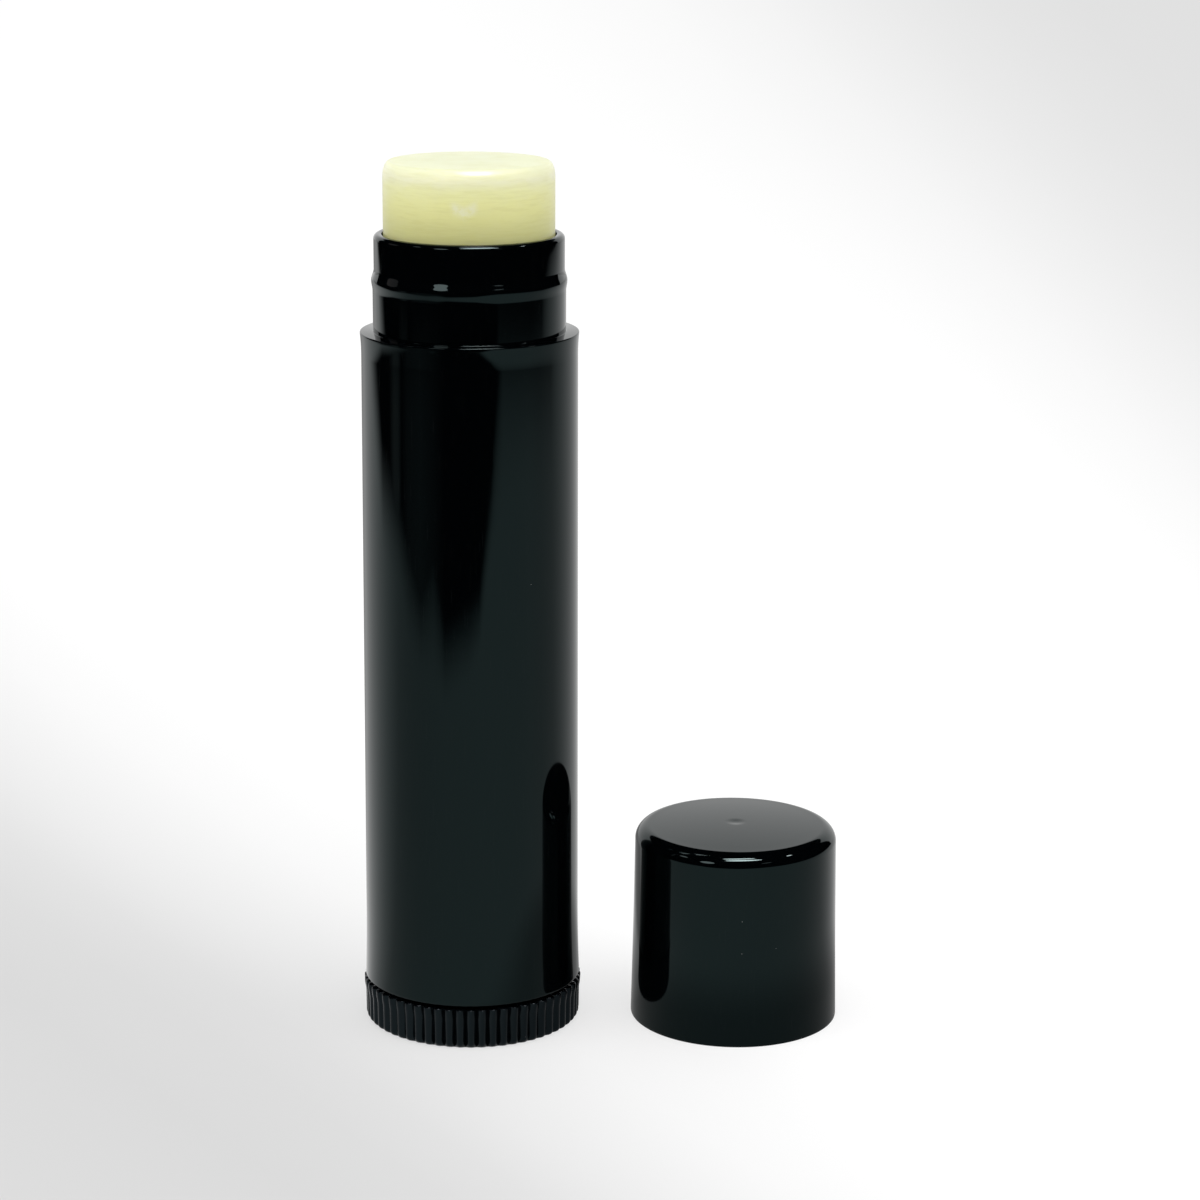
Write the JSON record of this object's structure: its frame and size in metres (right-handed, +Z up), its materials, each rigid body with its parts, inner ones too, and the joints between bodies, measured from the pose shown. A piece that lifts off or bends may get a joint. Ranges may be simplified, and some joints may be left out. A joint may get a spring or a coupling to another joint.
{
  "type": "lip balm stick",
  "caption": "Twist-up lip balm stick: knurled base wheel, threaded spindle and keyed elevator raise the balm in a black tube; push-on cap stands beside it.",
  "frame": {"origin": "middle of the footprint that the upright tube and the cap beside it share, on the surface they stand on", "axes": "+Z up along the tube's and the cap's own axes, +X from the tube to the cap, +Y to the back"},
  "size_m": [0.0362, 0.0166, 0.0652],
  "materials": {
    "barrel_plastic": "polished black moulding",
    "wheel_plastic": "black moulding with upright ridges",
    "elevator_plastic": "plain black moulding",
    "balm": "smooth cast wax, faintly translucent",
    "cap_plastic": "polished black moulding"
  },
  "bodies": {
    "tube": {"barrel": "barrel_plastic"},
    "wheel": {"base_wheel": "wheel_plastic"},
    "carrier": {"elevator": "elevator_plastic", "balm": "balm"},
    "cap": {"cap": "cap_plastic"}
  },
  "joints": [
    {"name": "wheel_turn", "type": "hinge", "parent": "tube", "child": "wheel", "pos_m": [-0.0098, 0, 0], "axis": [0, 0, 1], "range_deg": [-721, 5761]},
    {"name": "elevator_lift", "type": "slide", "parent": "tube", "child": "carrier", "axis": [0, 0, 1], "range_m": [-0.005, 0.04]},
    {"name": "cap_lift", "type": "slide", "parent": "tube", "child": "cap", "axis": [0, 0, 1], "range_m": [0, 0.07]}
  ],
  "couplings": [
    {"joint": "wheel_turn", "follows": "elevator_lift", "rad_per_m": 2513.3}
  ]
}
